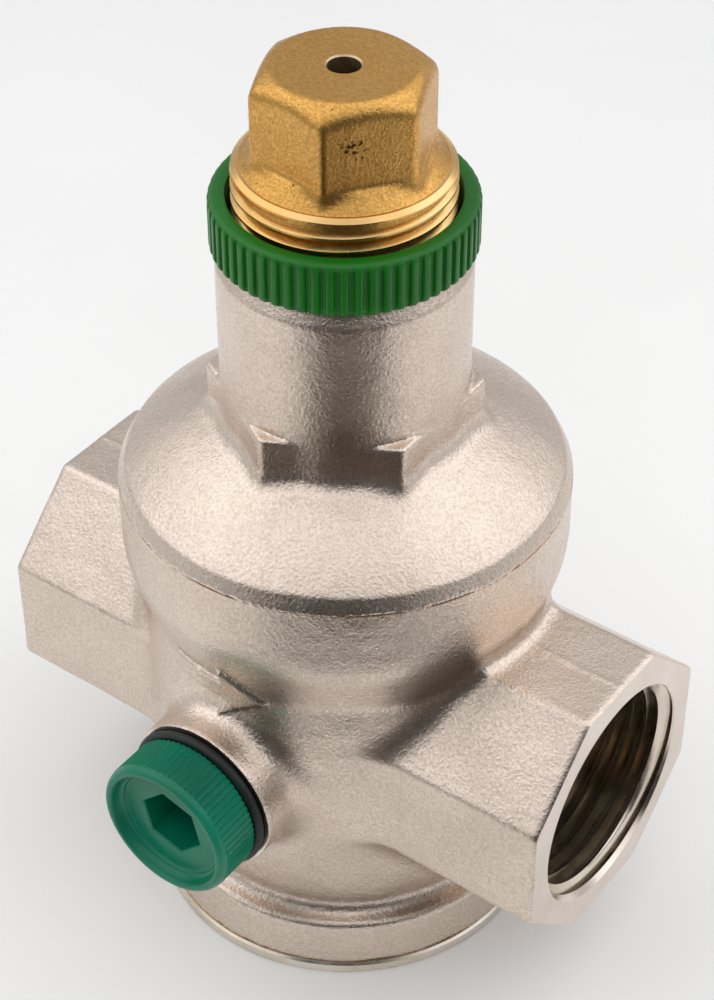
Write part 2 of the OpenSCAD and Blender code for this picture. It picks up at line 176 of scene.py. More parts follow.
def noise(tree, place, size, detail=2.0, roughness=0.5, stretch=(1, 1, 1)):
    """Noise whose blobs are about size millimetres across."""
    mapping = tree.nodes.new("ShaderNodeMapping")
    mapping.inputs["Scale"].default_value = stretch
    tree.links.new(place, mapping.inputs["Vector"])
    node = tree.nodes.new("ShaderNodeTexNoise")
    node.inputs["Scale"].default_value = 0.5 / (size * MM)
    node.inputs["Detail"].default_value = detail
    node.inputs["Roughness"].default_value = roughness
    tree.links.new(mapping.outputs["Vector"], node.inputs["Vector"])
    return node.outputs["Fac"]


def ramp(tree, value, stops):
    """A value turned into a colour or another value through stops of (position, colour)."""
    node = tree.nodes.new("ShaderNodeValToRGB")
    elements = node.color_ramp.elements
    for element, (position, colour) in zip(elements, (stops[0], stops[-1])):
        element.position = position
        element.color = (*colour, 1)
    for position, colour in stops[1:-1]:
        elements.new(position).color = (*colour, 1)
    tree.links.new(value, node.inputs["Fac"])
    return node.outputs["Color"]


def grade(tree, value, low, high, out_low, out_high):
    """A value carried from one range to another, held at its ends."""
    node = tree.nodes.new("ShaderNodeMapRange")
    for socket, number in zip(("From Min", "From Max", "To Min", "To Max"), (low, high, out_low, out_high)):
        node.inputs[socket].default_value = number
    tree.links.new(value, node.inputs["Value"])
    return node.outputs["Result"]


def sums(tree, operation, a, b):
    """One sum of two values, either of which may be a plain number."""
    node = tree.nodes.new("ShaderNodeMath")
    node.operation = operation
    for socket, value in zip(node.inputs, (a, b)):
        if isinstance(value, (int, float)):
            socket.default_value = value
        else:
            tree.links.new(value, socket)
    return node.outputs[0]


def bumps(tree, height, depth, before=None):
    """Raises a surface by height times depth millimetres, on top of the bumps before it."""
    node = tree.nodes.new("ShaderNodeBump")
    node.inputs["Distance"].default_value = depth * MM
    tree.links.new(height, node.inputs["Height"])
    if before is not None:
        tree.links.new(before, node.inputs["Normal"])
    return node.outputs["Normal"]


def blasted_metal(name, bright, dull, grain, depth, rough, stretch=(1, 1, 1)):
    """Shot-blasted metal: dimples of about grain millimetres, duller in their bottoms, with a grain tone that
    differs at random and painted shade darkening the colour in the bottoms.
    """
    finish, tree, shader, place = new_finish(name)
    dimples = noise(tree, place, grain, 3, 0.62, stretch)
    stains = sums(tree, "MULTIPLY", sums(tree, "SUBTRACT", noise(tree, place, 6, 3), 0.5), 0.3)
    tone = sums(tree, "ADD", dimples, stains)
    # Painted shade: the colour falls to nine tenths of the dull tone in the dimple bottoms, on top of a grain
    # tone and stains that differ at random.
    bottom = [0.9 * channel for channel in dull]
    colour = ramp(tree, tone, [(0.36, bottom), (0.46, dull), (0.60, bright)])
    tree.links.new(colour, shader.inputs["Base Color"])
    shader.inputs["Metallic"].default_value = 1
    gloss = sums(tree, "ADD", dimples, sums(tree, "MULTIPLY", noise(tree, place, 3, 2), 0.5))
    tree.links.new(grade(tree, gloss, 0.55, 0.95, rough + 0.09, rough - 0.07), shader.inputs["Roughness"])
    normal = bumps(tree, noise(tree, place, grain * 7, 2, 0.5, stretch), depth * 1.2)
    normal = bumps(tree, dimples, depth, normal)
    tree.links.new(normal, shader.inputs["Normal"])
    return finish


def radius_from(tree, place, axis):
    """Distance of a point from the valve's own axis, the line's axis or the gauge port's axis."""
    shift = tree.nodes.new("ShaderNodeVectorMath")
    shift.operation = "SUBTRACT"
    shift.inputs[1].default_value = (0, 0, 0) if axis == "Z" else (0, 0, port_z * MM)
    flat = tree.nodes.new("ShaderNodeVectorMath")
    flat.operation = "MULTIPLY"
    flat.inputs[1].default_value = [0 if letter == axis else 1 for letter in "XYZ"]
    length = tree.nodes.new("ShaderNodeVectorMath")
    length.operation = "LENGTH"
    tree.links.new(place, shift.inputs[0])
    tree.links.new(shift.outputs[0], flat.inputs[0])
    tree.links.new(flat.outputs[0], length.inputs[0])
    return length.outputs["Value"]


def turned_metal(name, bright, dull, axis, rough, depth=0.004):
    """Metal left by a lathe tool: fine rings round its axis and a few stains."""
    finish, tree, shader, place = new_finish(name)
    colour = ramp(tree, noise(tree, place, 4, 4), [(0.3, dull), (0.65, bright)])
    tree.links.new(colour, shader.inputs["Base Color"])
    shader.inputs["Metallic"].default_value = 1
    roughness = grade(tree, noise(tree, place, 1.5, 3), 0.3, 0.7, rough - 0.05, rough + 0.07)
    tree.links.new(roughness, shader.inputs["Roughness"])
    line = tree.nodes.new("ShaderNodeSeparateXYZ")
    tree.links.new(place, line.inputs[0])
    feed = sums(tree, "ADD", radius_from(tree, place, axis), sums(tree, "MULTIPLY", line.outputs[axis], 0.6))
    rings = tree.nodes.new("ShaderNodeTexNoise")
    rings.noise_dimensions = "1D"
    rings.inputs["Scale"].default_value = 1 / (0.22 * MM)
    rings.inputs["Detail"].default_value = 3
    tree.links.new(feed, rings.inputs["W"])
    normal = bumps(tree, rings.outputs["Fac"], depth)
    normal = bumps(tree, noise(tree, place, 0.5, 2), depth, normal)
    tree.links.new(normal, shader.inputs["Normal"])
    return finish


nickel_bright = (0.76, 0.645, 0.56)
nickel_dull = (0.70, 0.59, 0.505)
blasted_nickel = blasted_metal("blasted_nickel", nickel_bright, nickel_dull, 0.17, 0.085, 0.29)
turned_nickel = turned_metal("turned_nickel", (0.78, 0.69, 0.62), (0.69, 0.595, 0.52), "X", 0.22)
thread_nickel = turned_metal("thread_nickel", (0.72, 0.65, 0.55), (0.52, 0.44, 0.33), "X", 0.20, 0.008)
inner_brass = turned_metal("inner_brass", (0.62, 0.50, 0.33), (0.45, 0.34, 0.20), "Z", 0.34)

x = np.arange(-port_face - 1.2, port_face + 1.2, forging_cell, dtype=np.float32)
y = np.arange(-boss_face - 1.2, rim_r + 1.2, forging_cell, dtype=np.float32)
z = np.arange(foot_z - 0.9, joint_z + 1.5, forging_cell, dtype=np.float32)
across = np.hypot(x[:, None], y[None, :])

# The waist: foot ring, fillet, slightly tapered barrel, and a long curve out to the rim.
barrel_outline = rounded_outline([
    (-30, foot_z, 0),
    (22.8, foot_z, 0.15),
    (22.8, 8.2, 0.9),
    (20.3, 8.4, 1.5),
    (22.2, 22.7, 30),
    (22.9, 36, 20),
    (22.6, 43.3, 5),
    (rim_r, 50.2, 12),
    (rim_r, joint_z + 3, 0),
    (-30, joint_z + 3, 0),
])
barrel = turned(barrel_outline, across, z)

# The two octagonal ends, one bar right through, a little long so that its faces can be cut clean.
end_edge = 0.9
octagon = polygon_outline(8, port_af - 2 * end_edge, 0)
octagon_side = outline_distance(octagon, y[:, None], z[None, :] - port_z) - end_edge
octagon_end = np.abs(x) - (port_face + 0.35)
ends = bevelled_bar(octagon_side[None].astype(np.float32), octagon_end[:, None, None], end_edge)

# The gauge boss.
boss_side = np.hypot(x[:, None], z[None, :] - port_z) - boss_r
boss_end = np.maximum(-boss_face - 0.3 - y, y)
boss = bevelled_bar(boss_side[:, None, :], boss_end[None, :, None], 0.5)

casting = grown_together(barrel, ends, 2.1)
casting = grown_together(casting, boss, 2.4)

# Raised flow arrow above the boss, pointing the way that the water runs.
arrow_outline = np.array([(-6.5, -1.2), (1, -1.2), (1, -3.3), (6.5, 0), (1, 3.3), (1, 1.2), (-6.5, 1.2)])
arrow_angle = math.radians(-92)
arrow_z = 42.8
arrow_height = 0.55
arrow_slope = 0.4
barrel_r = 23
barrel_inside_r = 18
bearing = np.arctan2(y[None, :], x[:, None]) - arrow_angle
arrow_run = bearing * barrel_r
run_steps = np.linspace(-12, 12, 400)
arrow_table = outline_distance(arrow_outline, run_steps[:, None], z[None, :] - arrow_z)
arrow = np.stack([np.interp(arrow_run, run_steps, arrow_table[:, k]) for k in range(len(z))], axis=-1)
arrow_lift = arrow_height * np.clip(0.5 - arrow / arrow_slope, 0, 1) * (across > barrel_inside_r)[:, :, None]
casting = casting - arrow_lift.astype(np.float32)

# Die line along the middle of the ends, and the slow unevenness of a forging. A hair comes off
# all over, so that the unevenness doesn't carry the rim past its size.
die_line_height = 0.09
die_line_width = 0.3
die_line = die_line_height * np.exp(-(y / die_line_width) ** 2) * (y < 5) * (y > -5)
casting = casting - (die_line[None, :, None] * (np.abs(x) > 22)[:, None, None]).astype(np.float32)
unevenness = (
    np.sin(x * 0.61 + 1.1)[:, None, None] * np.sin(y * 0.53 + 0.4)[None, :, None]
    + np.sin(y * 0.83 + 2.0)[None, :, None] * np.sin(z * 0.47 + 0.3)[None, None, :]
    + np.sin(z * 0.71 + 1.7)[None, None, :] * np.sin(x * 0.37 + 2.6)[:, None, None]
)
casting = casting + 0.022 * unevenness + 0.012
body = forge("valve_body", casting, (x[0], y[0], z[0]), forging_cell, blasted_nickel)


# ---- Machining of the body ----
# The ends are faced off square, bored and tapped G 3/4 with a countersink at each mouth. The boss
# is tapped G 1/4 for a gauge. From above and below come the piston cylinder, the chambers on both
# sides of the seat and the bores that take bonnet and cover; two ducts lead the water in and out.
def lathe(name, outline, finish, steps=192):
    """Solid of revolution about Z from a closed outline of (radius, height); zero radius makes a tip."""
    verts = []
    rings = []
    for radius, height in outline:
        if radius < 1e-6:
            rings.append([len(verts)] * steps)
            verts.append((0, 0, height * MM))
            continue
        rings.append(range(len(verts), len(verts) + steps))
        for k in range(steps):
            angle = 2 * math.pi * k / steps
            verts.append((radius * math.cos(angle) * MM, radius * math.sin(angle) * MM, height * MM))
    faces = []
    for low, high in zip(rings, rings[1:] + rings[:1]):
        for k in range(steps):
            corners = [low[k], low[(k + 1) % steps], high[(k + 1) % steps], high[k]]
            corners = list(dict.fromkeys(corners))
            if len(corners) > 2:
                faces.append(corners)
    mesh = bpy.data.meshes.new(name)
    mesh.from_pydata(verts, [], faces)
    return finished(name, mesh, finish)


def washer(name, inner, outer, bottom, top, finish, steps=192):
    """Flat-faced ring about Z, or a disc where its inner radius is zero."""
    return lathe(name, [(inner, bottom), (outer, bottom), (outer, top), (inner, top)], finish, steps)


def finished(name, mesh, finish):
    """A closed mesh with outward faces and one finish, as an object."""
    work = bmesh.new()
    work.from_mesh(mesh)
    bmesh.ops.remove_doubles(work, verts=work.verts, dist=1e-7)
    open_edges = [edge for edge in work.edges if edge.is_boundary]
    if open_edges:
        bmesh.ops.holes_fill(work, edges=open_edges, sides=0)
    bmesh.ops.recalc_face_normals(work, faces=work.faces)
    work.to_mesh(mesh)
    work.free()
    mesh.materials.append(finish)
    piece = bpy.data.objects.new(name, mesh)
    bpy.context.scene.collection.objects.link(piece)
    return piece


def threaded_bar(name, bottom, top, root_r, crest_r, pitch, finish, start=0.0, columns=144):
    """Bar along Z with a right-handed thread; its rows of points run along the helix itself."""
    flank = [0, 0, 0.25, 0.5, 0.75, 1, 1, 1, 0.75, 0.5, 0.25, 0]
    rows = len(flank)
    count = math.ceil((top - bottom) / pitch + 2) * rows
    verts = []
    for i in range(count + rows + 1):
        for j in range(columns):
            height = bottom - pitch + pitch * ((i + start * rows) / rows + j / columns)
            radius = root_r + (crest_r - root_r) * flank[i % rows]
            if height <= bottom or height >= top:
                radius = root_r
            height = min(max(height, bottom), top)
            angle = 2 * math.pi * j / columns
            verts.append((radius * math.cos(angle) * MM, radius * math.sin(angle) * MM, height * MM))
    faces = []
    for i in range(count):
        for j in range(columns - 1):
            a = i * columns + j
            faces.append((a, a + 1, a + 1 + columns, a + columns))
        a = i * columns + columns - 1
        b = (i + rows) * columns
        faces.append((a, b, b + columns, a + columns))
    mesh = bpy.data.meshes.new(name)
    mesh.from_pydata(verts, [], faces)
    return finished(name, mesh, finish)


def cut(piece, *tools, operation="DIFFERENCE"):
    """Machines a piece with each tool in turn; a cut face keeps the tool's finish."""
    for tool in tools:
        step = piece.modifiers.new("cut", "BOOLEAN")
        step.solver = "MANIFOLD"
        step.operation = operation
        step.material_mode = "TRANSFER"
        step.object = tool
        ready = piece.evaluated_get(bpy.context.evaluated_depsgraph_get())
        shape = bpy.data.meshes.new_from_object(ready)
        piece.modifiers.clear()
        piece.data = shape
        bpy.data.objects.remove(tool)


def smooth_shaded(piece, corner=32):
    """Smooth shading that keeps every corner sharper than so many degrees."""
    piece.data.shade_smooth()
    piece.data.set_sharp_from_angle(angle=math.radians(corner))


def laid(tool, turn, axis, place=(0, 0, 0)):
    """Turns a tool drawn along Z by so many degrees about an axis and sets it at a place."""
    tool.data.transform(Matrix.Translation(Vector(place) * MM) @ Matrix.Rotation(math.radians(turn), 4, axis))
    return tool


port_pitch = 1.814
port_major_r = 13.22
mouth_r = 13.32
mouth_depth = 1.65
bore_end = 19
bore_front = 23
tap_end = 20.4
for turn in (90, -90):
    face = washer("face_tool", 0, 24, port_face, port_face + 3, turned_nickel)
    bore = washer("bore_tool", 0, thread_minor_r, bore_end, bore_front, thread_nickel)
    tap_sizes = (tap_end, port_face + 0.9, thread_minor_r, port_major_r, port_pitch)
    tap = threaded_bar("port_tap", *tap_sizes, thread_nickel, columns=180)
    mouth = lathe("mouth_tool", [
        (0, port_face - mouth_depth),
        (thread_minor_r + 0.04, port_face - mouth_depth),
        (mouth_r, port_face),
        (mouth_r + 0.74, port_face + 1),
        (0, port_face + 1),
    ], turned_nickel)
    cut(body, *[laid(tool, turn, "Y", (0, 0, port_z)) for tool in (face, bore, tap, mouth)])

gauge_pitch = 1.337
boss_facing = washer("boss_tool", 0, 12, boss_face, boss_face + 2, turned_nickel)
tap_sizes = (17.6, boss_face + 1.5, 5.95, 6.58, gauge_pitch)
gauge_tap = threaded_bar("gauge_tap", *tap_sizes, thread_nickel, start=0.5, columns=96)
gauge_duct = washer("gauge_duct", 0, 2, 2, 19, inner_brass, 48)
cut(body, *[laid(tool, 90, "X", (0, 0, port_z)) for tool in (boss_facing, gauge_tap, gauge_duct)])

chambers = lathe("chambers", [
    (0, 0), (17.55, 0), (17.55, 8), (14.5, 8), (14.5, 21.5), (11, 21.5), (11, 22.6), (9.5, 22.6),
    (9.5, 26.5), (11.5, 26.5), (11.5, 46), (19, 46), (19, 53), (21.9, 53),
    (21.9, joint_z + 4), (0, joint_z + 4),
], inner_brass)
underside = washer("underside", 16, 26, foot_z - 1, foot_z, turned_nickel)
joint_face = washer("joint_face", 20, 28, joint_z, joint_z + 4, turned_nickel)
outlet_duct = washer("outlet_duct", 0, 7.4, 0, 20, inner_brass, 96)
laid(outlet_duct, 90, "Y", (0, 0, 34))
inlet_duct = washer("inlet_duct", 0, 6, 0, 20, inner_brass, 96)
laid(inlet_duct, 135, "Y", (-25.5, 0, 26))
cut(body, chambers, underside, joint_face, outlet_duct, inlet_duct)
smooth_shaded(body)
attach(body, "valve_body")
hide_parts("body")


# ---- Bottom cover ----
# A turned and nickel-plated brass plug that screws into the foot and closes the lower chamber.
# Only the thin edge of its flange shows. Underneath it has two holes for a pin wrench, and its
# raised boss guides the spigot of the valve disc.
cover_nickel = turned_metal("cover_nickel", (0.84, 0.78, 0.70), (0.68, 0.58, 0.44), "Z", 0.26)
flange_r = 23.1
cover_outline = [
    (0, 0), (flange_r - 0.4, 0), (flange_r - 0.12, 0.12), (flange_r, 0.4),
    (flange_r, 1.35), (flange_r - 0.25, 1.6), (15.6, 1.6),
    (15.6, 3.5), (17.2, 3.5), (17.5, 3.8), (17.5, 7.5), (17.2, 7.8), (14.5, 7.8), (14.5, 5),
    (9.6, 5), (9.6, 12.3), (9.3, 12.6), (6.8, 12.6), (6.5, 12.3), (6.5, 10.3), (8.08, 10.3), (8.08, 8.6),
    (6.5, 8.6), (6.5, 6), (0, 6),
]
cover = lathe("closing_cover", cover_outline, cover_nickel)
pin_hole_outline = [(0, -1), (2.9, -1), (2.9, 0), (2.5, 0.4), (2.5, 3), (0, 3.7)]
for side in (-13, 13):
    pin_hole = lathe("pin_hole", pin_hole_outline, cover_nickel, 48)
    cut(cover, laid(pin_hole, 0, "Z", (side, 0, 0)))
smooth_shaded(cover)
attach(cover, "valve_body")
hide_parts("bottom_cover")


# ---- Rubber seals inside ----
# Five O-rings of black nitrile rubber: under the cover's flange, round the disc's spigot, under
# the seat, round the stem and round the piston. The valve's own flat gasket is the same rubber.
def moulded_rubber(name, bright, dull, rough):
    """Moulded rubber or plastic skin with a faint mottle and a fine moulded grain."""
    finish, tree, shader, place = new_finish(name)
    colour = ramp(tree, noise(tree, place, 2.5, 3), [(0.35, dull), (0.65, bright)])
    tree.links.new(colour, shader.inputs["Base Color"])
    roughness = grade(tree, noise(tree, place, 0.9, 2), 0.3, 0.7, rough - 0.06, rough + 0.06)
    tree.links.new(roughness, shader.inputs["Roughness"])
    tree.links.new(bumps(tree, noise(tree, place, 0.25, 2), 0.006), shader.inputs["Normal"])
    return finish


def refinish(names, finish):
    """Gives plain turned or moulded parts a new finish and leaves their shape alone."""
    for name in names:
        frame["nodes"][name].data.materials.clear()
        frame["nodes"][name].data.materials.append(finish)


nitrile = moulded_rubber("black_nitrile", (0.010, 0.016, 0.013), (0.005, 0.009, 0.007), 0.55)
refinish(("bottom_cover_seal", "balance_seal", "seat_ring_seal"), nitrile)
refinish(("stem_seal", "piston_seal", "valve_gasket"), nitrile)


# ---- Seat, stem and small steel parts ----
# The seat ring, the stem with its drilled duct, the washers, the nut and the spring plate are all
# turned from stainless bar, and clamp the disc, the gasket and the piston together.
turned_steel = turned_metal("turned_steel", (0.74, 0.74, 0.75), (0.58, 0.58, 0.60), "Z", 0.26)
refinish(("seat_ring", "gasket_washer", "valve_stem"), turned_steel)
refinish(("piston_washer", "piston_nut", "spring_plate"), turned_steel)


# ---- Disc holder and piston ----
# Both are turned brass. The holder carries the gasket that closes on the seat, and the piston
# runs in the cylinder over it, pushed down by the spring and up by the water at the outlet.
turned_brass = turned_metal("turned_brass", (0.86, 0.66, 0.36), (0.70, 0.50, 0.24), "Z", 0.24)
refinish(("disc_holder", "piston"), turned_brass)


# ---- Guide ring and thrust washer ----
# Two slippery white acetal parts: one keeps the piston off the cylinder wall, the other lets the
# cap turn on the spring plate without winding the spring.
acetal = moulded_rubber("white_acetal", (0.86, 0.85, 0.82), (0.78, 0.77, 0.73), 0.38)
refinish(("piston_guide_ring", "thrust_washer"), acetal)


# ---- Adjusting spring ----
# Coiled from 3 mm oil-tempered steel wire, six free coils and a closed coil ground flat at each end. It is
# built as a lower and an upper half of coils.
spring_low, spring_high = [corner.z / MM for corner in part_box("adjusting_spring")]
wire_r = 1.49
coil_r = 7
free_coils = 6
closed_rise = 3.05
wire_bottom = spring_low + 1.5
free_rise = (spring_high - spring_low - 3 - 2 * closed_rise) / free_coils
coil_steps = 48
wire_sides = 16
half_coils = (free_coils + 2) // 2
steel_bright = (0.46, 0.47, 0.50)
steel_dull = (0.34, 0.35, 0.37)
spring_steel = blasted_metal("oiled_spring_steel", steel_bright, steel_dull, 0.25, 0.008, 0.28)
for half, first_turn in (("lower", 0), ("upper", half_coils)):
    spring_verts = []
    for i in range(half_coils * coil_steps + 1):
        turns = first_turn + i / coil_steps
        height = wire_bottom + closed_rise * min(turns, 1) + free_rise * max(0, min(turns - 1, free_coils))
        height += closed_rise * max(0, turns - 1 - free_coils)
        for k in range(wire_sides):
            angle = 2 * math.pi * k / wire_sides
            radius = coil_r + wire_r * math.cos(angle)
            bearing_angle = 2 * math.pi * turns
            spring_verts.append((
                radius * math.cos(bearing_angle) * MM,
                radius * math.sin(bearing_angle) * MM,
                (height + wire_r * math.sin(angle)) * MM,
            ))
    spring_faces = []
    for i in range(half_coils * coil_steps):
        for k in range(wire_sides):
            a = i * wire_sides + k
            b = i * wire_sides + (k + 1) % wire_sides
            spring_faces.append((a, a + wire_sides, b + wire_sides, b))
    spring_mesh = bpy.data.meshes.new(half + "_coils")
    spring_mesh.from_pydata(spring_verts, [], spring_faces)
    spring = finished(half + "_coils", spring_mesh, spring_steel)
    smooth_shaded(spring, 50)
    if half == "lower":
        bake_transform(spring)
    else:
        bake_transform(spring)
    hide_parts("adjusting_spring")


# ---- Bonnet ----
# One forging: a shallow dome over the piston, a wrench hexagon and the tall spring housing, which
# draws in at its mouth and is tapped for the cap. Blasted and nickel plated, and screwed to the body.
bonnet_box = [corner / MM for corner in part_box("bonnet")]
housing_top = bonnet_box[1].z
housing_r = 13.4
hexagon_af = 26.1
hexagon_top = 71.8
dome_r = 42
bonnet_cell = 0.25
x = np.arange(-rim_r - 1, rim_r + 1, bonnet_cell, dtype=np.float32)
y = np.arange(-rim_r - 1, rim_r + 1, bonnet_cell, dtype=np.float32)
z = np.arange(52, housing_top + 1, bonnet_cell, dtype=np.float32)
across = np.hypot(x[:, None], y[None, :])

# The dome in section: the screwed skirt, a small radius, a bevel and a long arc up to the hexagon.
rim_edge = 0.6
bevel_head = np.array([rim_r - 0.85, joint_z + 1.75])
dome_foot = bevel_head + (-0.12, 0.13)
dome_head = np.array([14, joint_z + 7.75])
chord = dome_head - dome_foot
left = np.array([-chord[1], chord[0]]) / np.linalg.norm(chord)
dome_centre = (dome_foot + dome_head) / 2 + left * math.sqrt(dome_r ** 2 - (chord @ chord) / 4)
dome_from = math.atan2(*(dome_foot - dome_centre)[::-1])
dome_to = math.atan2(*(dome_head - dome_centre)[::-1])
dome_outline = [(-30, 50), (21.85, 50), (21.85, joint_z), (rim_r - rim_edge, joint_z)]
for angle in np.radians(np.arange(0, 29, 7)):
    dome_outline.append((rim_r - rim_edge + rim_edge * math.cos(angle), joint_z + rim_edge * math.sin(angle)))
dome_outline.append(tuple(bevel_head))
for angle in np.linspace(dome_from, dome_to, 24):
    dome_outline.append(tuple(dome_centre + dome_r * np.array([math.cos(angle), math.sin(angle)])))
dome_outline += [(9, joint_z + 9.6), (-30, joint_z + 9.6)]
dome = turned(np.array(dome_outline), across, z)

# The housing draws in at its mouth, and the hexagon stands out of its foot.
housing_mouth_r = 12.3
mouth_taper = 1.85
housing_outline = [
    (-30, 60), (housing_r, 60), (housing_r, housing_top - mouth_taper),
    (housing_mouth_r, housing_top), (-30, housing_top),
]
housing = turned(np.array(housing_outline), across, z)
hexagon_edge = 0.9
hexagon_outline = polygon_outline(6, hexagon_af - 2 * hexagon_edge, 0)
hexagon_side = outline_distance(hexagon_outline, x[:, None], y[None, :]) - hexagon_edge
hexagon_side = hexagon_side[:, :, None].astype(np.float32)
hexagon_end = np.maximum(60 - z, z - hexagon_top)
hexagon = bevelled_bar(hexagon_side, hexagon_end[None, None, :], 0.4)
upper = grown_together(housing, hexagon, 0.2)
bonnet_shape = grown_together(dome, upper, 1.5)
unevenness = (
    np.sin(x * 0.57 + 0.7)[:, None, None] * np.sin(y * 0.49 + 1.4)[None, :, None]
    + np.sin(y * 0.77 + 1.0)[None, :, None] * np.sin(z * 0.51 + 0.9)[None, None, :]
)
bonnet_shape = bonnet_shape + 0.02 * unevenness
bonnet = forge("spring_bonnet", bonnet_shape, (x[0], y[0], z[0]), bonnet_cell, blasted_nickel)
bonnet_bore = lathe("bonnet_bore", [
    (0, 50), (19.3, 50), (19.3, 58.5), (10.4, 64.3), (10.4, 73.5), (11.56, 73.5),
    (11.56, housing_top - 0.5), (12.2, housing_top + 0.14), (12.2, housing_top + 2), (0, housing_top + 2),
], inner_brass)
skirt_face = washer("skirt_face", 16, 24, 50, 53, inner_brass)
rim_face = washer("rim_face", 21.85, 28, 51, joint_z, turned_nickel)
top_face = washer("top_face", 8, 16, housing_top, housing_top + 2, turned_nickel)
cut(bonnet, bonnet_bore, skirt_face, rim_face, top_face)
smooth_shaded(bonnet)
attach(bonnet, "valve_body")
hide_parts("bonnet")


# ---- Lock ring ----
# A green polyamide ring screwed down the cap's thread against the housing. Its sixty flat-topped
# ribs for the fingers fade out over the rounded edges, and the bore has a small bevel.
ring_low, ring_high = [corner.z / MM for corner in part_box("lock_ring")]
ring_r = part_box("lock_ring")[1].x / MM
ring_bore_r = 12.0
ring_ribs = 60


def moulded_plastic(name, bright, dull, rough, grain_depth, glow):
    """Satin moulded plastic: colour that drifts, light that sinks in a touch, and a finely grained skin."""
    finish, tree, shader, place = new_finish(name)
    colour = ramp(tree, noise(tree, place, 5, 3), [(0.35, dull), (0.65, bright)])
    tree.links.new(colour, shader.inputs["Base Color"])
    roughness = grade(tree, noise(tree, place, 1.2, 3), 0.3, 0.7, rough - 0.07, rough + 0.09)
    tree.links.new(roughness, shader.inputs["Roughness"])
    shader.inputs["Specular IOR Level"].default_value = 0.36
    shader.inputs["Subsurface Weight"].default_value = glow
    shader.inputs["Subsurface Radius"].default_value = (0.3, 1.0, 0.5)
    shader.inputs["Subsurface Scale"].default_value = 0.4 * MM
    normal = bumps(tree, noise(tree, place, 0.22, 2), grain_depth)
    normal = bumps(tree, noise(tree, place, 2.2, 2), grain_depth * 2, normal)
    tree.links.new(normal, shader.inputs["Normal"])
    return finish


def ribbed_ring(name, section, ribs, rib_shape, finish):
    """Turned section (radius, height, rib depth), grooved by rib_shape's shares across each rib."""
    columns = ribs * len(rib_shape)
    verts = []
    for radius, height, depth in section:
        for k in range(columns):
            angle = 2 * math.pi * k / columns
            r = radius - depth * rib_shape[k % len(rib_shape)]
            verts.append((r * math.cos(angle) * MM, r * math.sin(angle) * MM, height * MM))
    faces = []
    rows = len(section)
    for i in range(rows):
        for k in range(columns):
            after = (k + 1) % columns
            above = (i + 1) % rows
            faces.append((i * columns + k, i * columns + after, above * columns + after, above * columns + k))
    mesh = bpy.data.meshes.new(name)
    mesh.from_pydata(verts, [], faces)
    return finished(name, mesh, finish)


ring_bright = (0.005, 0.150, 0.008)
ring_dull = (0.003, 0.115, 0.005)
ring_green = moulded_plastic("ring_green", ring_bright, ring_dull, 0.36, 0.004, 0.10)
ring_section = [
    (ring_bore_r, ring_low + 0.3, 0),
    (ring_bore_r + 0.3, ring_low, 0),
    (ring_r - 0.75, ring_low, 0),
    (ring_r - 0.40, ring_low + 0.03, 0.15),
    (ring_r - 0.16, ring_low + 0.16, 0.42),
    (ring_r - 0.02, ring_low + 0.42, 0.46),
    (ring_r, ring_low + 0.7, 0.46),
    (ring_r, ring_high - 0.95, 0.46),
    (ring_r - 0.02, ring_high - 0.72, 0.40),
    (ring_r - 0.08, ring_high - 0.50, 0.22),
    (ring_r - 0.20, ring_high - 0.28, 0.04),
    (ring_r - 0.42, ring_high - 0.08, 0),
    (ring_r - 0.70, ring_high, 0),
    (ring_bore_r + 0.32, ring_high, 0),
    (ring_bore_r + 0.10, ring_high - 0.07, 0),
    (ring_bore_r, ring_high - 0.3, 0),
]
ring_rib_shape = [0, 0, 0, 0.15, 0.9, 1, 1, 0.9, 0.15, 0]
ring = ribbed_ring("locking_ring", ring_section, ring_ribs, ring_rib_shape, ring_green)
smooth_shaded(ring, 40)
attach(ring, "ring")
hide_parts("lock_ring")


# ---- Adjusting cap ----
# A hot-stamped brass cap with a hexagon for the spanner, blasted but left without plating. Its skirt
# is turned and cut M23 x 1.5, and a hole through the middle lets air out of the spring chamber.
cap_low, cap_high = [corner.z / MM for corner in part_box("adjusting_cap")]
cap_thread_r = 11.5
cap_root_r = 10.58
cap_af = 17
cap_turn = -6.75
cap_face_r = 7.33
cap_cell = 0.15
x = np.arange(-12, 12, cap_cell, dtype=np.float32)
y = np.arange(-12, 12, cap_cell, dtype=np.float32)
z = np.arange(95.4, cap_high + 0.8, cap_cell, dtype=np.float32)
across = np.hypot(x[:, None], y[None, :])
brass_bright = (0.72, 0.41, 0.12)
brass_dull = (0.58, 0.315, 0.08)
blasted_brass = blasted_metal("blasted_brass", brass_bright, brass_dull, 0.14, 0.048, 0.33)
thread_brass = turned_metal("thread_brass", (0.88, 0.60, 0.27), (0.70, 0.42, 0.14), "Z", 0.25, 0.010)

# The head: six flats with soft corners under a cone that rounds off into the top face, and a flange.
cap_edge = 0.95
cap_outline = polygon_outline(6, cap_af - 2 * cap_edge, cap_turn + 30)
cap_sides = outline_distance(cap_outline, x[:, None], y[None, :]) - cap_edge
cap_sides = cap_sides[:, :, None].astype(np.float32)
cone_reach = 9
cone_foot = cap_high - cone_reach * math.tan(math.radians(30))
cap_top_outline = rounded_outline([
    (-30, 96, 0),
    (cap_face_r + cone_reach, 96, 0),
    (cap_face_r + cone_reach, cone_foot, 0),
    (cap_face_r, cap_high, 1.6),
    (-30, cap_high, 0),
])
cap_top = turned(cap_top_outline, across, z)
cone_edge = 1.1
near = np.maximum(cone_edge - np.abs(cap_sides - cap_top), 0) / cone_edge
head = np.maximum(cap_sides, cap_top) + near * near * cone_edge / 4
flange_outline = rounded_outline([
    (-30, 95, 0),
    (10.95, 95, 0),
    (10.95, 98.0, 0.1),
    (10.55, 98.25, 0.25),
    (9.0, 99.62, 0.6),
    (-30, 99.75, 0),
])
head = grown_together(head, turned(flange_outline, across, z), 0.8)

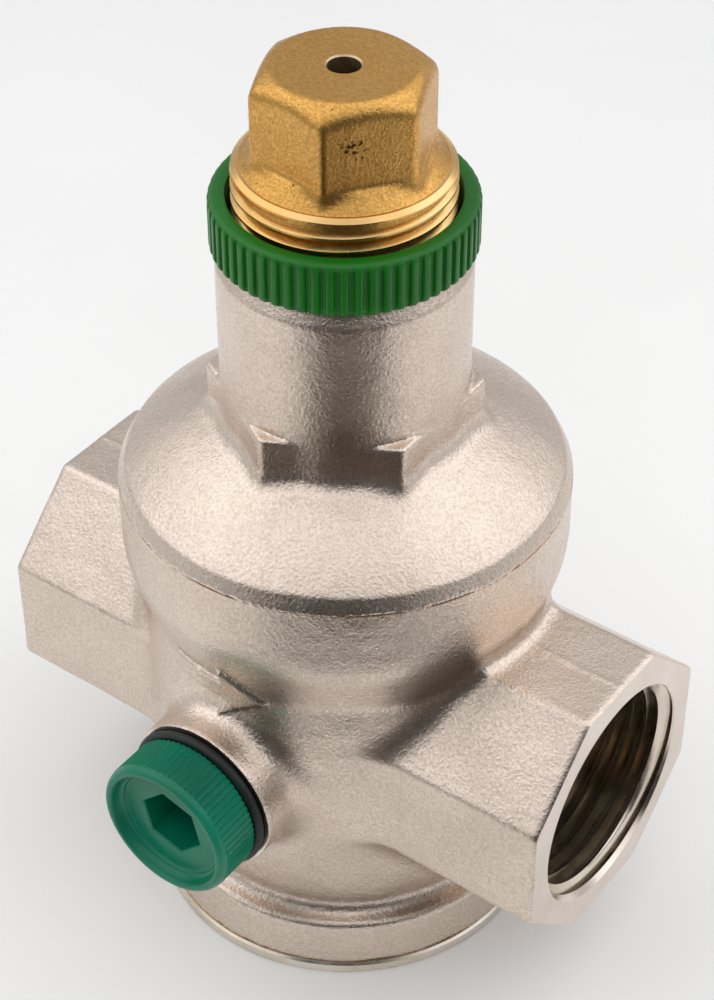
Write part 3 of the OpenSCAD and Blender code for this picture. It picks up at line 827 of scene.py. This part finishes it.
# A patch of casting pits on one flat.
pits_bearing = math.radians(-48.75)
pits_z = 104.6
pits_centre = (math.cos(pits_bearing) * cap_af / 2, math.sin(pits_bearing) * cap_af / 2, pits_z)
tree = blasted_brass.node_tree
shader = next(node for node in tree.nodes if node.type == "BSDF_PRINCIPLED")
place = next(node for node in tree.nodes if node.type == "TEX_COORD").outputs["Object"]
reach = tree.nodes.new("ShaderNodeVectorMath")
reach.operation = "DISTANCE"
reach.inputs[1].default_value = Vector(pits_centre) * MM
tree.links.new(place, reach.inputs[0])
thinning = grade(tree, reach.outputs["Value"], 0.4 * MM, 2.2 * MM, 0, -0.25)
spread = sums(tree, "ADD", noise(tree, place, 0.2, 2), thinning)
pit = grade(tree, spread, 0.46, 0.53, 0, 1)
darker = tree.nodes.new("ShaderNodeMix")
darker.data_type = "RGBA"
tree.links.new(pit, darker.inputs["Factor"])
tree.links.new(shader.inputs["Base Color"].links[0].from_socket, darker.inputs[6])
darker.inputs[7].default_value = (0.10, 0.05, 0.015, 1)
tree.links.new(darker.outputs[2], shader.inputs["Base Color"])
skin_normal = shader.inputs["Normal"].links[0].from_socket
tree.links.new(bumps(tree, pit, -0.12, skin_normal), shader.inputs["Normal"])
cap = forge("spindle_cap", head, (x[0], y[0], z[0]), cap_cell, blasted_brass)

# The thread, turned so that a crest stands at the right height in front, and the band and lip over it.
cap_pitch = 1.5
crest_z = 96.2
crest_bearing = -53.9
thread_start = ((crest_z - cap_low) / cap_pitch - crest_bearing / 360 - 7 / 12) % 1
skirt_sizes = (cap_low, 97.2, cap_root_r, cap_thread_r, cap_pitch)
skirt = threaded_bar("skirt", *skirt_sizes, thread_brass, start=thread_start, columns=180)
band = lathe("band", [
    (0, 96.72), (cap_root_r, 96.72), (11.12, 97.0), (11.12, 97.8), (0, 97.8),
], blasted_brass)
lip = lathe("lip", [
    (0, 97.5), (11.15, 97.5), (11.42, 97.68), (11.40, 97.8), (10.9, 98.2), (0, 98.2),
], thread_brass)
cut(cap, skirt, band, lip, operation="UNION")
hollow = lathe("hollow", [
    (0, cap_low - 2), (9.7, cap_low - 2), (8.9, cap_low + 0.8), (8.9, 96.02),
    (5, 96.02), (5, 104), (0, 104),
], inner_brass, 96)
tip = lathe("tip", [(10.4, cap_low - 1), (13, cap_low - 1), (13, cap_low + 1.9)], thread_brass)
vent = lathe("vent", [
    (0, 103), (1.7, 103), (1.7, cap_high - 0.16), (1.88, cap_high + 0.02),
    (2.3, cap_high + 1), (0, cap_high + 1),
], inner_brass, 64)
cut(cap, hollow, tip, vent)
smooth_shaded(cap)
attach(cap, "cap")
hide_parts("adjusting_cap")


# ---- Gauge plug ----
# Moulded in blue-green polyamide with its own G 1/4 thread. Seventy fine ribs end in a plain
# rounded lip, and the front is hollowed round a socket for a 7 mm hexagon key.
plug_front = -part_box("gauge_plug")[0].y / MM
plug_end = -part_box("gauge_plug")[1].y / MM
plug_r = 8.45
plug_back = 28.1
plug_ribs = 70
socket_af = 7
dish_depth = 1.7
core_r = 6.02
teal_bright = (0.001, 0.185, 0.105)
teal_dull = (0.001, 0.140, 0.078)
plug_teal = moulded_plastic("plug_teal", teal_bright, teal_dull, 0.34, 0.004, 0.08)
plug_section = [
    (6.0, plug_back, 0),
    (plug_r - 0.55, plug_back, 0),
    (plug_r - 0.12, plug_back + 0.12, 0.2),
    (plug_r, plug_back + 0.45, 0.27),
    (plug_r, plug_front - 1.25, 0.27),
    (plug_r, plug_front - 1.05, 0.20),
    (plug_r - 0.01, plug_front - 0.92, 0.05),
    (plug_r - 0.06, plug_front - 0.80, 0),
    (plug_r - 0.18, plug_front - 0.38, 0),
    (plug_r - 0.38, plug_front - 0.12, 0),
    (plug_r - 0.62, plug_front, 0),
    (7.50, plug_front, 0),
    (7.34, plug_front - 0.10, 0),
    (7.26, plug_front - 0.35, 0),
    (7.10, plug_front - 1.10, 0),
    (6.85, plug_front - 1.38, 0),
    (6.70, plug_front - 1.42, 0),
    (6.58, plug_front - 1.62, 0),
    (6.30, plug_front - dish_depth, 0),
    (6.00, plug_front - dish_depth, 0),
]
plug_rib_shape = [0, 0.38, 0.86, 1, 0.86, 0.38]
plug = ribbed_ring("port_plug", plug_section, plug_ribs, plug_rib_shape, plug_teal)
core = washer("core", 0, core_r, plug_back - 1, plug_front - dish_depth, plug_teal, 420)
shank_sizes = (plug_end, plug_back + 0.6, 5.75, 6.53, gauge_pitch)
shank = threaded_bar("shank", *shank_sizes, plug_teal, start=0.5, columns=96)
cut(plug, core, shank, operation="UNION")

# The socket narrows from a small lead-in to the key's own hexagon.
key_outline = polygon_outline(6, socket_af, 15)
socket_verts = []
for grow, height in [(1.08, plug_front - 1.55), (1.0, plug_front - 1.85), (1.0, plug_front - 7.7)]:
    socket_verts += [(u * grow * MM, v * grow * MM, height * MM) for u, v in key_outline]
socket_faces = []
for ring_start in (0, 6):
    for k in range(6):
        a = ring_start + k
        b = ring_start + (k + 1) % 6
        socket_faces.append((a, b, b + 6, a + 6))
socket_mesh = bpy.data.meshes.new("socket")
socket_mesh.from_pydata(socket_verts, [], socket_faces)
cut(plug, finished("socket", socket_mesh, plug_teal))
laid(plug, 90, "X", (0, 0, port_z))
smooth_shaded(plug, 42)
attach(plug, "plug")
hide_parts("gauge_plug")


# ---- Plug seal ----
# A nitrile O-ring held between the plug's head and the faced boss. It fills the gap between them
# and stands a little proud of the head.
seal_mean_r = 8.3
seal_section_r = 0.585
seal_place = (plug_back + boss_face) / 2
seal_outline = []
for k in range(28):
    angle = 2 * math.pi * k / 28
    radius = seal_mean_r + seal_section_r * math.cos(angle)
    seal_outline.append((radius, seal_place + seal_section_r * math.sin(angle)))
port_seal = lathe("port_seal", seal_outline, nitrile)
laid(port_seal, 90, "X", (0, 0, port_z))
smooth_shaded(port_seal, 60)
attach(port_seal, "plug_carrier")
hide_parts("gauge_plug_seal")


# ---- Table and light ----
# The valve stands on a plain pale table under a large soft light overhead, with another high up on
# each side. The front is left dim, so that the edges which face it draw a dark line.
view_bearing = math.radians(36.143)
view_height = math.radians(40.077)
to_right = Vector((math.cos(view_bearing), math.sin(view_bearing), 0))
to_front = Vector((math.sin(view_bearing), -math.cos(view_bearing), 0))

table_paper, tree, shader, place = new_finish("table_paper")
paper_stops = [(0.3, (0.86, 0.86, 0.855)), (0.7, (0.89, 0.89, 0.885))]
tree.links.new(ramp(tree, noise(tree, place, 30, 3), paper_stops), shader.inputs["Base Color"])
shader.inputs["Roughness"].default_value = 0.75
bpy.ops.mesh.primitive_plane_add(size=6, location=(0, 0, 0))
table = bpy.context.object
table.name = "table"
table.data.materials.append(table_paper)


def soft_light(name, place, aim, width, height, power):
    """A large soft box, faced at a point on the valve."""
    light = bpy.data.lights.new(name, "AREA")
    light.shape = "RECTANGLE"
    light.size = width
    light.size_y = height
    light.energy = power
    lamp = bpy.data.objects.new(name, light)
    lamp.location = place
    lamp.rotation_euler = (Vector(aim) - Vector(place)).to_track_quat("-Z", "Y").to_euler()
    bpy.context.scene.collection.objects.link(lamp)
    return lamp


middle = Vector((0, 0, 0.05))
box_distance = 0.75
for name, side in (("left_box", -1), ("right_box", 1)):
    box_place = middle + box_distance * (to_right * side * 0.72 + to_front * 0.04 + Vector((0, 0, 0.69)))
    soft_light(name, box_place, middle, 1.35, 0.62, 2.35)
overhead_place = middle + Vector((0, 0, 0.85)) + to_front * 0.15
overhead = soft_light("overhead_box", overhead_place, middle, 0.8, 1.3, 2.55)
overhead.rotation_euler = (0, 0, view_bearing)

# A weaker light over the camera fills the floor and the plastic; the metal doesn't mirror it.
fill_place = middle + to_front * 0.5 + Vector((0, 0, 0.55))
fill = soft_light("front_fill", fill_place, middle, 0.5, 0.5, 1.2)
fill.visible_glossy = False

# The room: even light from behind and from the sides, and hardly any from the front.
world = bpy.data.worlds.new("room")
world.use_nodes = True
room = world.node_tree
background = room.nodes["Background"]
background.inputs["Color"].default_value = (0.99, 0.99, 1.0, 1)
facing = room.nodes.new("ShaderNodeVectorMath")
facing.operation = "DOT_PRODUCT"
dark_height = 0.3
facing.inputs[1].default_value = to_front * math.cos(dark_height) + Vector((0, 0, math.sin(dark_height)))
room.links.new(room.nodes.new("ShaderNodeTexCoord").outputs["Generated"], facing.inputs[0])
room_light = grade(room, facing.outputs["Value"], 0.25, 0.72, 0.57, 0.04)
room.links.new(room_light, background.inputs["Strength"])
bpy.context.scene.world = world

# A black card lies on the table in front, and only reflections show it.
card_lift = 0.0004
card_corners = []
for ahead, aside in [(0.073, -0.045), (0.073, 0.045), (0.9, 0.75), (0.9, -0.75)]:
    card_corners.append(to_front * ahead + to_right * aside + Vector((0, 0, card_lift)))
card_mesh = bpy.data.meshes.new("black_card")
card_mesh.from_pydata(card_corners, [], [(0, 1, 2, 3)])
card = bpy.data.objects.new("black_card", card_mesh)
black_cloth, tree, shader, place = new_finish("black_cloth")
cloth_stops = [(0.3, (0.028, 0.017, 0.010)), (0.7, (0.042, 0.026, 0.016))]
tree.links.new(ramp(tree, noise(tree, place, 3, 2), cloth_stops), shader.inputs["Base Color"])
shader.inputs["Roughness"].default_value = 0.9
card_mesh.materials.append(black_cloth)
bpy.context.scene.collection.objects.link(card)
card.visible_camera = False
card.visible_diffuse = False
card.visible_shadow = False
bpy.context.scene.view_settings.view_transform = "Standard"

# The camera looks down on the valve from between its gauge boss and its outlet.
camera_data = bpy.data.cameras.new("camera")
camera_data.lens = 86.87
camera_data.sensor_width = 36
camera = bpy.data.objects.new("camera", camera_data)
camera_distance = 0.268617
target = Vector((0, 0, 0.053733)) + to_right * 0.001254
away = to_front * math.cos(view_height) + Vector((0, 0, math.sin(view_height)))
camera.location = target + away * camera_distance
camera.rotation_euler = (-away).to_track_quat("-Z", "Y").to_euler()
camera_data.clip_start = 0.01
bpy.context.scene.collection.objects.link(camera)
bpy.context.scene.camera = camera
